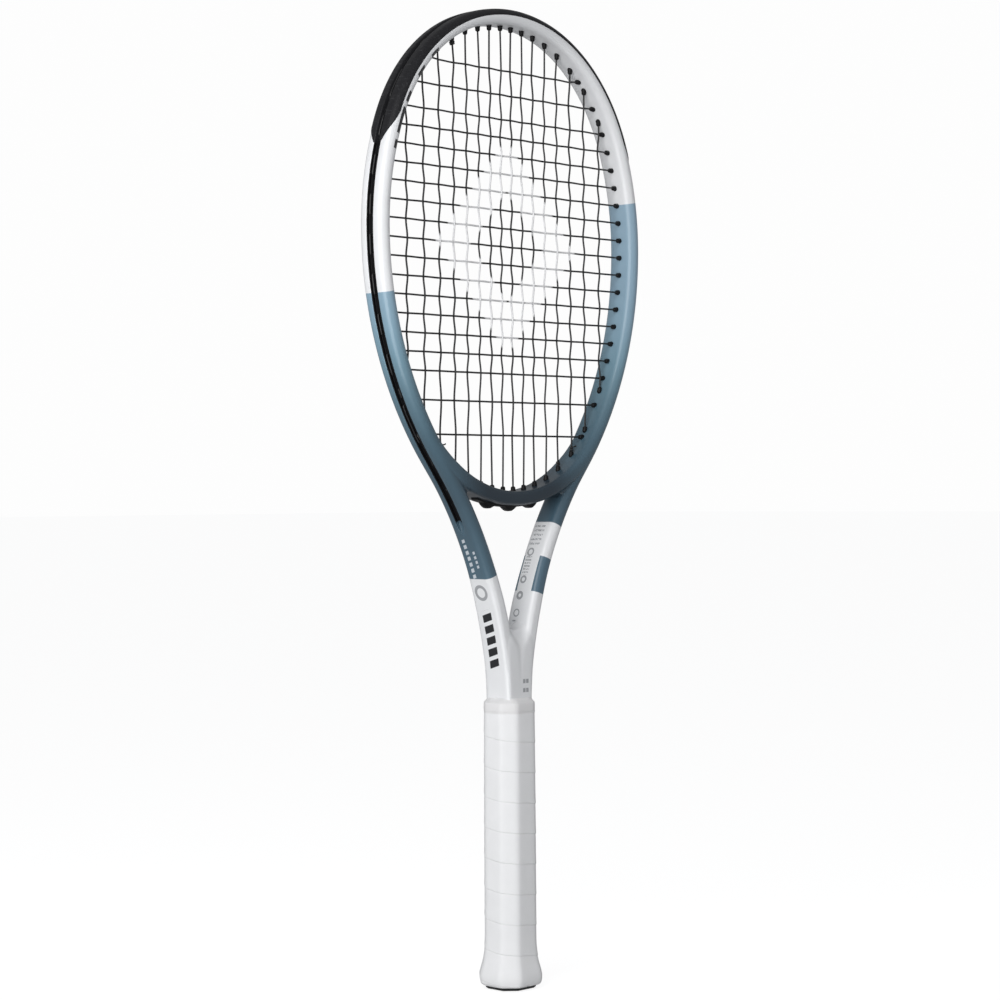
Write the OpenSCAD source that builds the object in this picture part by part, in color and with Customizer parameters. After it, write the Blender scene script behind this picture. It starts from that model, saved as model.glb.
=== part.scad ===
/* [Size] */
// Length from the butt end to the top of the bumper guard
total_length = 685.8; // [680:0.1:692]
// Depth of the frame tube, front to back
beam_depth = 23; // [22:0.5:26]
// Width of the frame tube, measured in the plane of the strings
beam_width = 10.8; // [10.6:0.1:11]
// Wall of the hollow frame tube
tube_wall = 1.6; // [1.4:0.1:1.8]

/* [Head outline] */
// Centre-line radius of the arc over the tip
tip_radius = 120; // [118:0.5:122]
// Centre-line radius of the arc beside the widest point
side_radius = 210; // [207:1:213]
// Centre-line radius of the lower arc of the head
lower_radius = 251; // [248:1:253]
// Length of the straight leg under the head
leg_length = 18; // [16:0.5:20]
// Distance of each shaft's centre from the racket's axis
shaft_x = 5.8; // [5.7:0.05:6]

/* [Throat] */
// Centre-line radius of the bridge that closes the head
bridge_radius = 102.5; // [101:0.5:104]
// Thickness of the bridge in the plane of the strings
bridge_width = 10; // [9:0.5:11]
// Depth of the bridge, front to back
bridge_depth = 21; // [20:0.5:22]
// Radius of the rounded top corners of the throat opening
throat_corner = 6; // [5:0.5:7]

/* [Strings] */
// Number of main strings on each side of the racket's axis
mains_per_side = 8; // [8:1:8]
// Gap between the two middle main strings
main_gap = 10.36; // [10.2:0.02:10.5]
// How much the outer main strings spread
main_spread = 0.125; // [0.12:0.001:0.13]
// Number of cross strings
crosses = 19; // [19:1:19]
// Gap between the cross strings in the middle of the head
cross_gap = 12.75; // [12.7:0.01:12.8]
// Radius of the string
string_r = 0.65; // [0.6:0.01:0.68]

/* [Grommets and bumper] */
// Depth of the groove round the outside of the frame
groove_depth = 3; // [2.8:0.1:3.1]
// Width of that groove
groove_width = 5.6; // [5.4:0.1:5.8]
// Thickness of the bumper guard over the tip
bumper_thickness = 3.1; // [2.8:0.1:3.4]
// Outer radius of a grommet barrel
barrel_r = 1.75; // [1.65:0.01:1.8]
// Bore radius of a grommet barrel
barrel_bore = 0.95; // [0.9:0.01:1]

/* [Handle] */
// Width of the wrapped handle across the racket
handle_width = 34.5; // [34:0.5:35.5]
// Depth of the wrapped handle, front to back
handle_depth = 33; // [32.5:0.5:34]
// Thickness of the grip wrap
wrap_thickness = 1.8; // [1.6:0.1:1.9]
// Height of the top of the grip wrap
wrap_top = 194.4; // [190:0.2:196]

/* [Hidden] */
$fn = 64;

clear = 0.05;
half_w = beam_width / 2;
half_d = beam_depth / 2;

// Directions of the joints between arcs. They have exact decimals, so neighbours share one face.
tip_joint = [0.936, 0.352];
leg_normal = [0.8, -0.6];
leg_down = [-0.6, -0.8];
tip_end = atan2(tip_joint.y, tip_joint.x);

// Centres of the outline's arcs, as [x, z], for the right half
tip_z = total_length - bumper_thickness - half_w;
c_tip = [0, tip_z - tip_radius];
c_side = c_tip + (tip_radius - side_radius) * tip_joint;
c_lower = c_side + [side_radius - lower_radius, 0];
leg_top = c_lower + lower_radius * leg_normal;
leg_end = leg_top + leg_length * leg_down;
shaft_radius = (leg_end.x - shaft_x) / (1 - leg_normal.x);
c_shaft = leg_end + shaft_radius * leg_normal;
groove_sweep = 7;
shaft_bottom = 14;

// Bridge: its arc meets the lower arc of the head on a common centre-line
bridge_drop = sqrt(pow(lower_radius - bridge_radius, 2) - pow(c_lower.x, 2));
c_bridge = [0, c_lower.y - bridge_drop];
bridge_in = bridge_radius - bridge_width / 2;
bridge_out = bridge_radius + bridge_width / 2;
bridge_sweep = 46.5;
bridge_hollow_sweep = 23;
last_bridge_x = 70;
throat_strip_x = 35;

// Levels in the groove, as distances outward from the tube's centre-line
groove_level = half_w - groove_depth;
strip_level = groove_level + 0.5;
main_level = strip_level + string_r + clear;
cross_level = main_level + 2 * string_r + clear;
groove_half = groove_width / 2;
channel_half = groove_half - 0.7;
saddle_r = bridge_out + 3.5;
strip_end = tip_end - 5.4;

// String rows
weave = string_r + 0.05;
mouth = 2;
string_bend = 2.8;
beside = channel_half - string_r - clear;
tail = 6;
cross_top_z = 643.6;
cross_wide_gap = 17.2;
cross_low_gaps = [19.9, 23.4];
mains = 2 * mains_per_side;
bumper_crosses = 5;
string_sides = 6;
knot_ring_r = 1.75;

// Handle
front_flat = 17;
side_flat = 16;
bevel_shift = tan(22.5);
flare_top = 34;
flare = [[3, 1.12], [5, 1.19], [10, 1.22], [16, 1.13], [24, 1.04], [flare_top, 1]];
cap_foot = [[0, 1], [1.2, 1.1]];
under_wrap = wrap_thickness + clear;
pallet_spigot = 2.7;
neck = 2.4;
neck_top = 199;
collar_step = 200.2;
collar_top = 203.7;
cap_floor = 4;
door_r = 12;
door_t = 2;
door_hole_r = 10;
door_leg_x = 8.2;
door_leg_h = 6;
plug_length = 16;
staple_width = 1.2;
staple_wire = 0.6;
staple_span = 9;
staple_leg = 4.5;
staple_y = 14.3;
staple_z = 28;

// ---------- where the strings and their holes are ----------

function unit(v) = v / norm(v);

function turn(a) = [cos(a), sin(a)];

function main_x(m) =
    let (i = m - (mains - 1) / 2)
    sign(i) * (main_gap * abs(i) + main_spread * pow(abs(i), 2.5));

function cross_z(k) =
    k <= 2 ? cross_top_z - k * cross_wide_gap
    : k <= crosses - 3 ? cross_z(2) - (k - 2) * cross_gap
    : cross_z(k - 1) - cross_low_gaps[k - crosses + 2];

// A hole is [x, z, outward x, outward z], taken at the inner face of the head
function on_arc(c, r, a) = [c.x + r * cos(a), c.y + r * sin(a), cos(a), sin(a)];

function on_side(h, s) = s < 0 ? [-h[0], h[1], -h[2], h[3]] : h;

function top_hole(x) =
    let (r = tip_radius - half_w)
    on_side(on_arc(c_tip, r, acos(abs(x) / r)), x);

function bottom_hole(x) =
    let (r = lower_radius - half_w)
    on_side(abs(x) < last_bridge_x
        ? on_arc(c_bridge, bridge_in, -acos(abs(x) / bridge_in))
        : on_arc(c_lower, r, -acos((abs(x) - c_lower.x) / r)), x);

function arc_hole(c, r, z) = on_arc(c, r, asin((z - c.y) / r));

function cross_hole(z, s) =
    let (r = tip_radius - half_w)
    on_side(z > c_tip.y + r * sin(tip_end) ? arc_hole(c_tip, r, z)
        : z > c_side.y ? arc_hole(c_side, side_radius - half_w, z)
        : arc_hole(c_lower, lower_radius - half_w, z), s);

// Way along a hole from the inner face to a level in the outer groove
function to_leg(h, level) =
    ((leg_end + level * leg_normal - [h[0], h[1]]) * leg_normal) / ([h[2], h[3]] * leg_normal);

function to_shaft(h, level) =
    let (q = [h[0], h[1]] - c_shaft, b = q * [h[2], h[3]], r = shaft_radius - level)
    -b - sqrt(b * b - q * q + r * r);

function is_bridge(h) = abs(h[0]) < last_bridge_x && h[1] < c_bridge.y;

function is_throat(h) = is_bridge(h) && abs(h[0]) < throat_strip_x;

function way(hole, level) =
    let (h = on_side(hole, hole[0]), t = to_leg(h, level))
    !is_bridge(h) ? half_w + level
    : h[0] < throat_strip_x ? saddle_r - bridge_in
    : h[1] + t * h[3] > leg_end.y + level * leg_normal.y ? t
    : to_shaft(h, level);

function along(h, t) = [h[0] + t * h[2], 0, h[1] + t * h[3]];

main_tops = [for (m = [0 : mains - 1]) top_hole(main_x(m))];
main_bottoms = [for (m = [0 : mains - 1]) bottom_hole(main_x(m))];
left_ends = [for (k = [0 : crosses - 1]) cross_hole(cross_z(k), -1)];
right_ends = [for (k = [0 : crosses - 1]) cross_hole(cross_z(k), 1)];

bumper_holes = concat(main_tops,
    [for (k = [0 : bumper_crosses - 1]) left_ends[k]],
    [for (k = [0 : bumper_crosses - 1]) right_ends[k]]);
left_holes = concat([for (k = [bumper_crosses : crosses - 1]) left_ends[k]],
    [for (h = main_bottoms) if (h[0] < 0 && !is_throat(h)) h]);
right_holes = [for (h = left_holes) on_side(h, -1)];
throat_holes = [for (h = main_bottoms) if (is_throat(h)) h];
bridge_holes = [for (h = main_bottoms) if (is_bridge(h)) h];

// ---------- string paths ----------

function over(m, k) = (m + k) % 2 == 0 ? weave : -weave;

function crossed(m, k) = abs(main_x(m)) < right_ends[k][0] - 2;

// A loop through the groove from hole a to hole b, with its middle pushed outward and aside
function loop(a, b, level, y, r) =
    let (p = along(a, way(a, level)), q = along(b, way(b, level)),
        n = unit([a[2] + b[2], 0, a[3] + b[3]]),
        out = n * ((p - q) * (p - q)) / (8 * r) + [0, y, 0])
    [p, p * 0.8 + q * 0.2 + out, p * 0.2 + q * 0.8 + out, q];

function backward(list) = [for (i = [len(list) - 1 : -1 : 0]) list[i]];

function main_run(m) =
    concat([along(main_bottoms[m], -string_bend)],
        [for (k = [crosses - 1 : -1 : 0]) if (crossed(m, k)) [main_x(m), over(m, k), cross_z(k)]],
        [along(main_tops[m], -string_bend)]);

function main_loop(m) =
    m % 2 == 0 ? loop(main_tops[m], main_tops[m + 1], main_level, -beside, tip_radius)
    : is_throat(main_bottoms[m]) && is_throat(main_bottoms[m + 1])
        ? loop(main_bottoms[m], main_bottoms[m + 1], main_level, 0, saddle_r)
        : loop(main_bottoms[m], main_bottoms[m + 1], main_level, -beside, side_radius);

function cross_run(k) =
    concat([along(left_ends[k], -string_bend)],
        [for (m = [0 : mains - 1]) if (crossed(m, k)) [main_x(m), -over(m, k), cross_z(k)]],
        [along(right_ends[k], -string_bend)]);

function cross_loop(k) =
    let (ends = k % 2 == 0 ? right_ends : left_ends)
    loop(ends[k], ends[k + 1], cross_level, 0, k < bumper_crosses - 1 ? tip_radius : side_radius);

// The string's end turns down or up the groove for a short tail
function tail_end(h, level, turn) =
    let (p = along(h, way(h, level)))
    [p, p + tail * turn * [-h[3], 0, h[2]]];

main_path = concat(backward(tail_end(main_bottoms[0], main_level, 1)),
    [for (m = [0 : mains - 1])
        each concat(m % 2 == 0 ? main_run(m) : backward(main_run(m)),
            m < mains - 1 ? main_loop(m) : [])],
    tail_end(main_bottoms[mains - 1], main_level, -1));

cross_path = concat(backward(tail_end(left_ends[0], cross_level, -1)),
    [for (k = [0 : crosses - 1])
        each concat(k % 2 == 0 ? cross_run(k) : backward(cross_run(k)),
            k < crosses - 1 ? cross_loop(k) : [])],
    tail_end(right_ends[crosses - 1], cross_level, -1));

// One mitred ring of the string's section at a bend of the path
function ring(p, d_in, d_out) =
    let (n = unit(d_in + d_out), b = unit([0, 1, 0] - d_in.y * d_in), c = cross(d_in, b))
    [for (j = [0 : string_sides - 1])
        let (a = 360 * j / string_sides, o = string_r * (cos(a) * b + sin(a) * c))
        p + o - d_in * ((o * n) / (d_in * n))];

module string_along(path) {
    last = len(path) - 1;
    steps = [for (i = [0 : last - 1]) unit(path[i + 1] - path[i])];
    rings = [for (i = [0 : last]) each ring(path[i], steps[max(i - 1, 0)], steps[min(i, last - 1)])];
    n = string_sides;
    walls = [for (i = [0 : last - 1], j = [0 : n - 1])
        [i * n + j, i * n + (j + 1) % n, (i + 1) * n + (j + 1) % n, (i + 1) * n + j]];
    start_cap = [for (j = [n - 1 : -1 : 0]) j];
    end_cap = [for (j = [0 : n - 1]) last * n + j];
    polyhedron(points = rings, faces = concat([start_cap], walls, [end_cap]), convexity = 10);
}

// ---------- frame shapes ----------

// Outline of the tube, grown by t: two half circles with straight sides
module tube_outline(t = 0) {
    straight = half_d - half_w;
    for (s = [-1, 1])
        translate([0, s * straight])
            circle(r = half_w + t);
    square([2 * (half_w + t), 2 * straight], center = true);
}

module wedge_between(x_low, x_high, half_y) {
    translate([x_low, -half_y])
        square([x_high - x_low, 2 * half_y]);
}

// The hollow inside, narrowed where the outer groove needs a wall
module tube_hollow(t = 0) {
    difference() {
        tube_outline(-tube_wall - t);
        wedge_between(groove_level - tube_wall - t, half_w, groove_half + tube_wall + t);
    }
}

module groove_section() {
    wedge_between(groove_level, half_w + 1, groove_half);
}

module tube_section(grooved) {
    difference() {
        tube_outline();
        tube_hollow();
        if (grooved)
            groove_section();
    }
}

module in_plane(c) {
    translate([c.x, 0, c.y])
        rotate([90, 0, 0])
            children();
}

// Sweeps a section round centre c by angles, with its +x side facing away from c
module bend(c, r, from, sweep) {
    in_plane(c)
        rotate([0, 0, from])
            rotate_extrude(angle = sweep, $fn = 180)
                translate([r, 0])
                    children();
}

// Sweeps a section round centre c between two directions, cut square at both
module bend_between(c, r, u1, u2) {
    far = 600;
    in_plane(c)
        intersection() {
            rotate_extrude($fn = 180)
                translate([r, 0])
                    children();
            linear_extrude(3 * beam_depth, center = true)
                polygon([[0, 0], far * u1, 1.5 * far * unit(u1 + u2), far * u2]);
        }
}

module leg() {
    translate([leg_end.x, 0, leg_end.y])
        rotate([0, acos(leg_normal.x), 0])
            linear_extrude(leg_length)
                children();
}

module both_sides() {
    children();
    mirror([1, 0, 0])
        children();
}

// Runs a section down the right side of the head, from direction u, with its +x side outward
module head_side(u) {
    bend_between(c_side, side_radius, [1, 0], u)
        children();
    bend_between(c_lower, lower_radius, leg_normal, [1, 0])
        children();
    leg()
        children();
}

// Direction from the shaft arc's centre, a few degrees past the end of the leg
function shaft_turn(a) = turn(a + 180 - acos(leg_normal.x));

module shaft_bend(u1, u2) {
    bend_between(c_shaft, shaft_radius, u1, u2)
        mirror([1, 0])
            children();
}

module hole_at(h, from, to, r) {
    translate(along(h, from))
        rotate([0, atan2(h[2], h[3]), 0])
            cylinder(h = to - from, r = r);
}

module string_holes(holes) {
    for (h = holes)
        hole_at(h, -3, way(h, groove_level) + 1, barrel_r + 0.1);
}

module hairpin_frame() color("whitesmoke") {
    end = shaft_turn(groove_sweep);
    groove_tip = concat(c_shaft + shaft_radius * end, -end);
    difference() {
        union() {
            bend_between(c_tip, tip_radius, tip_joint, [-tip_joint.x, tip_joint.y])
                tube_section(true);
            both_sides() {
                head_side(tip_joint)
                    tube_section(true);
                difference() {
                    shaft_bend(-leg_normal, [-1, 0])
                        tube_section(false);
                    shaft_bend(shaft_turn(-groove_sweep), end)
                        groove_section();
                    hole_at(groove_tip, groove_level, half_w + 1, groove_half - clear);
                }
                translate([shaft_x, 0, shaft_bottom])
                    linear_extrude(c_shaft.y - shaft_bottom)
                        tube_section(false);
            }
        }
        string_holes(bumper_holes);
        string_holes(left_holes);
        string_holes(right_holes);
    }
}

module rounded_section(w, d, r) {
    for (x = [-1, 1], y = [-1, 1])
        translate([x * (w / 2 - r), y * (d / 2 - r)])
            circle(r = r);
    square([w, d - 2 * r], center = true);
    square([w - 2 * r, d], center = true);
}

// Where two circles cross, on the side nearer the racket's axis
function meet(c1, r1, c2, r2) =
    let (d = norm(c2 - c1), u = (c2 - c1) / d, a = (r1 * r1 - r2 * r2 + d * d) / (2 * d))
    c1 + a * u - sqrt(r1 * r1 - a * a) * [-u.y, u.x];

// Web that rounds the corner between the bridge and the leg
module throat_web() {
    shaft_face = shaft_radius + half_w;
    round_c = meet(c_bridge, bridge_out + throat_corner, c_shaft, shaft_face + throat_corner);
    corner = meet(c_bridge, bridge_out, c_shaft, shaft_face);
    on_bridge = c_bridge + (bridge_out - 2) * unit(round_c - c_bridge);
    on_shaft = c_shaft + (shaft_face - 1) * unit(round_c - c_shaft);
    rotate([90, 0, 0])
        linear_extrude(bridge_depth - 4, center = true)
            difference() {
                polygon([on_bridge, round_c, on_shaft, corner + 3 * unit(corner - round_c)]);
                translate(round_c)
                    circle(r = throat_corner);
            }
}

module throat_bridge() color("midnightblue") {
    hollow_w = bridge_width - 2 * tube_wall;
    hollow_d = bridge_depth - 2 * tube_wall;
    difference() {
        union() {
            bend(c_bridge, bridge_radius, -90 - bridge_sweep, 2 * bridge_sweep)
                rounded_section(bridge_width, bridge_depth, 3);
            both_sides()
                throat_web();
        }
        bend(c_bridge, bridge_radius, -90 - bridge_hollow_sweep, 2 * bridge_hollow_sweep)
            rounded_section(hollow_w, hollow_d, 1.5);
        both_sides() {
            head_side(tip_joint)
                tube_outline(clear);
            shaft_bend(-leg_normal, [-1, 0])
                tube_outline(clear);
        }
        for (h = bridge_holes)
            hole_at(h, -3, is_throat(h) ? bridge_width + 3 : way(h, groove_level), barrel_r + 0.1);
    }
}

// ---------- bumper and grommets ----------

// How far the rim of a barrel's end leans, where the barrel meets the groove on a slant
function lean(h) = is_bridge(h) ? barrel_r * tan(acos([abs(h[2]), h[3]] * leg_normal)) : 0;

module barrels(holes) {
    for (h = holes)
        hole_at(h, -mouth,
            is_throat(h) ? bridge_width + 0.5 : way(h, groove_level + 0.3 - lean(h)), barrel_r);
}

module bores(holes) {
    for (h = holes)
        hole_at(h, -mouth - 1, way(h, main_level) + 2, barrel_bore);
}

module strip_section() {
    difference() {
        wedge_between(groove_level + clear, half_w - 0.1, groove_half - clear);
        wedge_between(strip_level, half_w + 1, channel_half);
    }
}

module bumper_section() {
    difference() {
        union() {
            intersection() {
                translate([bumper_thickness, 0])
                    tube_outline();
                wedge_between(half_w / 2, half_w + bumper_thickness, half_d);
            }
            wedge_between(groove_level + clear, half_w, groove_half - clear);
        }
        difference() {
            tube_outline(clear);
            wedge_between(groove_level + clear, half_w + 1, groove_half - clear);
        }
        wedge_between(strip_level, half_w + bumper_thickness + 1, channel_half);
    }
}

module bumper_guard() color("black") {
    difference() {
        union() {
            bend_between(c_tip, tip_radius, tip_joint, [-tip_joint.x, tip_joint.y])
                bumper_section();
            both_sides()
                bend_between(c_side, side_radius, turn(strip_end), tip_joint)
                    bumper_section();
            barrels(bumper_holes);
        }
        bores(bumper_holes);
    }
}

module side_strip(holes) {
    difference() {
        union() {
            head_side(turn(strip_end - 0.15))
                strip_section();
            shaft_bend(-leg_normal, shaft_turn(groove_sweep - 0.3))
                strip_section();
            barrels(holes);
        }
        bores(holes);
    }
}

module right_grommet_strip() color("black")
    side_strip(right_holes);

module left_grommet_strip() color("black")
    mirror([1, 0, 0])
        side_strip(right_holes);

function bridge_angle(m) = -acos(main_x(m) / bridge_in);

// Raised seat that carries a loop of string under the bridge, between two holes
module saddle(a, b) {
    seat = saddle_r - string_r - 0.15;
    gap = (string_r + 0.3) * 180 / (PI * saddle_r);
    bend(c_bridge, 0, a + gap, b - a - 2 * gap)
        difference() {
            wedge_between(bridge_out + 0.5, saddle_r + 0.5, 2.8);
            wedge_between(seat, saddle_r + 1, 0.85);
        }
}

module throat_grommet_strip() color("black") {
    half_sweep = asin((throat_strip_x - 1) / bridge_out);
    middle = mains / 2;
    difference() {
        union() {
            bend(c_bridge, 0, -90 - half_sweep, 2 * half_sweep)
                wedge_between(bridge_out + clear, bridge_out + 1, 3.2);
            saddle(bridge_angle(middle - 1), bridge_angle(middle));
            both_sides()
                saddle(bridge_angle(middle + 1), bridge_angle(middle + 2));
            barrels(throat_holes);
        }
        bores(throat_holes);
    }
}

// ---------- strings ----------

module main_string() color("black")
    string_along(main_path);

module cross_string() color("black")
    string_along(cross_path);

// Two turns of string round a main string, which runs there from point a to point b
module knot(a, b) {
    d = unit(b - a);
    translate(a * 0.65 + b * 0.35)
        rotate(acos(d.z), cross([0, 0, 1], d))
            for (turn = [0, 1])
                translate([0, 0, turn * 2 * string_r * 0.9])
                    rotate_extrude()
                        translate([knot_ring_r, 0])
                            circle(r = string_r);
}

module bottom_knot(m) {
    run = main_run(m);
    knot(run[0], run[1]);
}

module top_knot(m) {
    run = main_run(m);
    knot(run[len(run) - 2], run[len(run) - 1]);
}

module main_string_knots() color("black") {
    bottom_knot(2);
    bottom_knot(mains - 3);
}

module cross_string_knots() color("black") {
    top_knot(3);
    bottom_knot(mains - 4);
}

// ---------- handle ----------

// Octagon of the handle, shrunk by t on every side
function octagon(t, k = 1) =
    let (a = handle_width / 2 - t, b = handle_depth / 2 - t,
        f = front_flat / 2 - t * bevel_shift, g = side_flat / 2 - t * bevel_shift)
    k * [[a, -g], [a, g], [f, b], [-f, b], [-a, g], [-a, -g], [-f, -b], [f, -b]];

module octagon_prism(t, low, high) {
    translate([0, 0, low])
        linear_extrude(high - low)
            polygon(octagon(t));
}

// Tapered octagons through [height, scale] steps, as one solid
module octagon_stack(t, steps) {
    last = len(steps) - 1;
    corners = [for (s = steps, p = octagon(t, s[1])) [p.x, p.y, s[0]]];
    walls = [for (i = [0 : last - 1], j = [0 : 7])
        [i * 8 + j, (i + 1) * 8 + j, (i + 1) * 8 + (j + 1) % 8, i * 8 + (j + 1) % 8]];
    bottom = [for (j = [0 : 7]) j];
    top = [for (j = [7 : -1 : 0]) last * 8 + j];
    polyhedron(points = corners, faces = concat([bottom], walls, [top]));
}

module shaft_pair(t) {
    for (s = [-1, 1])
        translate([s * shaft_x, 0])
            tube_outline(t);
    square([half_w, 2 * (half_d - half_w)], center = true);
}

module staple_slot() {
    depth = staple_leg + 4;
    translate([0, staple_y - staple_leg - clear + depth / 2, staple_z])
        cube([staple_width + 0.1, depth, staple_span + 0.1], center = true);
}

// The pallet half behind the plane of the strings
module pallet_half() {
    far = 100;
    difference() {
        union() {
            octagon_prism(pallet_spigot, shaft_bottom, flare_top);
            octagon_prism(under_wrap, flare_top, wrap_top - clear);
            octagon_prism(neck, wrap_top - clear, neck_top);
        }
        translate([0, 0, shaft_bottom - 1])
            linear_extrude(neck_top)
                shaft_pair(0.1);
        translate([0, 0, c_shaft.y - 1])
            linear_extrude(neck_top)
                shaft_pair(0.45);
        translate([-far / 2, clear / 2 - far, 0])
            cube([far, far, 3 * far]);
        staple_slot();
    }
}

module rear_pallet() color("tan")
    pallet_half();

module front_pallet() color("tan")
    mirror([0, 1, 0])
        pallet_half();

module shaft_plug() {
    translate([shaft_x, 0, shaft_bottom])
        linear_extrude(plug_length)
            tube_hollow(clear);
}

module right_shaft_plug() color("dimgray")
    shaft_plug();

module left_shaft_plug() color("dimgray")
    mirror([1, 0, 0])
        shaft_plug();

module butt_cap() color("black") {
    difference() {
        octagon_stack(under_wrap, concat(cap_foot, flare));
        octagon_prism(pallet_spigot - clear, cap_floor, flare_top + 1);
        translate([0, 0, -1])
            cylinder(h = door_t + 1 + clear, r = door_r + 0.15);
        cylinder(h = cap_floor + 1, r = door_hole_r);
        staple_slot();
        mirror([0, 1, 0])
            staple_slot();
    }
}

module butt_cap_door() color("black") {
    cylinder(h = door_t, r = door_r);
    for (s = [-1, 1])
        translate([s * door_leg_x, 0, door_t + door_leg_h / 2 - 0.5])
            cube([1.6, 6, door_leg_h + 1], center = true);
}

module staple() {
    translate([0, staple_y, staple_z])
        cube([staple_width, staple_wire, staple_span], center = true);
    for (s = [-1, 1])
        translate([0, staple_y - staple_leg / 2, staple_z + s * (staple_span - staple_wire) / 2])
            cube([staple_width, staple_leg, staple_wire], center = true);
}

module butt_cap_staples() color("silver") {
    staple();
    mirror([0, 1, 0])
        staple();
}

module grip_wrap() color("white") {
    difference() {
        octagon_stack(0, concat(flare, [[wrap_top, 1]]));
        octagon_stack(wrap_thickness, concat([[0, flare[0][1]]], flare, [[wrap_top + 1, 1]]));
    }
}

module finishing_tape() color("white") {
    difference() {
        octagon_prism(neck - 0.4, wrap_top + clear, neck_top - clear);
        octagon_prism(neck - clear, wrap_top - 1, neck_top + 1);
    }
}

module grip_collar() color("white") {
    difference() {
        union() {
            octagon_prism(0.2, wrap_top + clear, collar_step);
            translate([0, 0, collar_step])
                linear_extrude(collar_top - collar_step)
                    shaft_pair(2.1);
        }
        octagon_prism(neck - 0.45, wrap_top - 1, neck_top + clear);
        translate([0, 0, neck_top - 1])
            linear_extrude(10)
                shaft_pair(0.9);
    }
}

hairpin_frame();
throat_bridge();
bumper_guard();
left_grommet_strip();
right_grommet_strip();
throat_grommet_strip();
main_string();
cross_string();
main_string_knots();
cross_string_knots();
front_pallet();
rear_pallet();
left_shaft_plug();
right_shaft_plug();
butt_cap();
butt_cap_door();
butt_cap_staples();
grip_wrap();
finishing_tape();
grip_collar();
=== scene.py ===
import math

import bmesh
import bpy
import numpy as np
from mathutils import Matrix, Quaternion, Vector


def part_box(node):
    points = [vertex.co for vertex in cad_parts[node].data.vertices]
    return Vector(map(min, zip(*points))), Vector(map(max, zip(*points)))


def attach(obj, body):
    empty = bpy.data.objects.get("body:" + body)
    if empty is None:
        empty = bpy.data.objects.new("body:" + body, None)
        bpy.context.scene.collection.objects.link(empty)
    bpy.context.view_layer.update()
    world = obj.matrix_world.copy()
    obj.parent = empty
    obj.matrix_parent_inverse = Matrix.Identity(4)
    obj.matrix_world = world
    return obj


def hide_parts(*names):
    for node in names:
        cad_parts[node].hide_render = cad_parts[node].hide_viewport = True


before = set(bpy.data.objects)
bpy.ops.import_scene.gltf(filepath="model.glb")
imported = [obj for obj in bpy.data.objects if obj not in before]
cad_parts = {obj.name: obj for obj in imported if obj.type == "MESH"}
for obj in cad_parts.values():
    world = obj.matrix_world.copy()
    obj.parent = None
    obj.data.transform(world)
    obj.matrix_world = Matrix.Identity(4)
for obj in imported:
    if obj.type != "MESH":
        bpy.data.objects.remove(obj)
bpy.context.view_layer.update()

MM = 0.001
PI = math.pi

# ---------- the frame's centre-line, in mm: right half, from the tip down ----------

frame_low, frame_high = (np.array(v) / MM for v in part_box("hairpin_frame"))
# Half width and half depth of the tube, radii of its arcs, length of a straight leg, place of a shaft
HALF_W, HALF_D = 5.4, float(frame_high[1])
TIP_R, SIDE_R, LOWER_R, LEG, SHAFT_X, BRIDGE_R = 120.0, 210.0, 251.0, 18.0, 5.8, 102.5
# Outward directions at the end of the tip's arc and along the leg, the way down the leg, and their angles
TIP_N, LEG_N, LEG_T = np.array([0.936, 0.352]), np.array([0.8, -0.6]), np.array([-0.6, -0.8])
TIP_A, LEG_A = math.atan2(TIP_N[1], TIP_N[0]), math.acos(LEG_N[0])

C_TIP = np.array([0, frame_high[2] - HALF_W - TIP_R])
C_SIDE = C_TIP + (TIP_R - SIDE_R) * TIP_N
C_LOWER = C_SIDE + np.array([SIDE_R - LOWER_R, 0])
LEG_TOP = C_LOWER + LOWER_R * LEG_N
LEG_END = LEG_TOP + LEG * LEG_T
SHAFT_R = (LEG_END[0] - SHAFT_X) / (1 - LEG_N[0])
C_SHAFT = LEG_END + SHAFT_R * LEG_N
C_BRIDGE = np.array([0, C_LOWER[1] - math.sqrt((LOWER_R - BRIDGE_R) ** 2 - C_LOWER[0] ** 2)])
# Distance from the tip to the end of each arc or straight part
ENDS = np.cumsum([0, TIP_R * (PI / 2 - TIP_A), SIDE_R * TIP_A, LOWER_R * LEG_A, LEG,
                  SHAFT_R * LEG_A, C_SHAFT[1] - frame_low[2]])


def spine(s):
    """Point and outward direction of the centre-line s mm from the tip; s is negative on the left."""
    d = min(abs(s), ENDS[6])
    k = min(int(np.searchsorted(ENDS, d, side="right")) - 1, 5)
    t = d - ENDS[k]
    if k < 3:
        c, r, a = ((C_TIP, TIP_R, PI / 2 - t / TIP_R), (C_SIDE, SIDE_R, TIP_A - t / SIDE_R),
                   (C_LOWER, LOWER_R, -t / LOWER_R))[k]
        n = np.array([math.cos(a), math.sin(a)])
        p = c + r * n
    elif k == 4:
        a = PI - LEG_A + t / SHAFT_R
        n = -np.array([math.cos(a), math.sin(a)])
        p = C_SHAFT - SHAFT_R * n
    else:
        n = LEG_N if k == 3 else np.array([1.0, 0.0])
        p = LEG_TOP + t * LEG_T if k == 3 else np.array([SHAFT_X, C_SHAFT[1] - t])
    side = np.array([-1.0 if s < 0 else 1.0, 1.0])
    return p * side, n * side


RUNS = np.arange(0, ENDS[6], 0.5)
RUN_Z = np.array([spine(s)[0][1] for s in RUNS])


def run_at(z):
    """Distance along the centre-line from the tip down to a height."""
    return float(np.interp(-z, -RUN_Z, RUNS))


def ease(x, low, high):
    """0 below low, 1 above high, and a smooth step between them."""
    t = np.clip((x - low) / (high - low), 0, 1)
    return t * t * (3 - 2 * t)


# ---------- mesh helpers: everything is built in mm and stored in metres ----------


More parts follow.
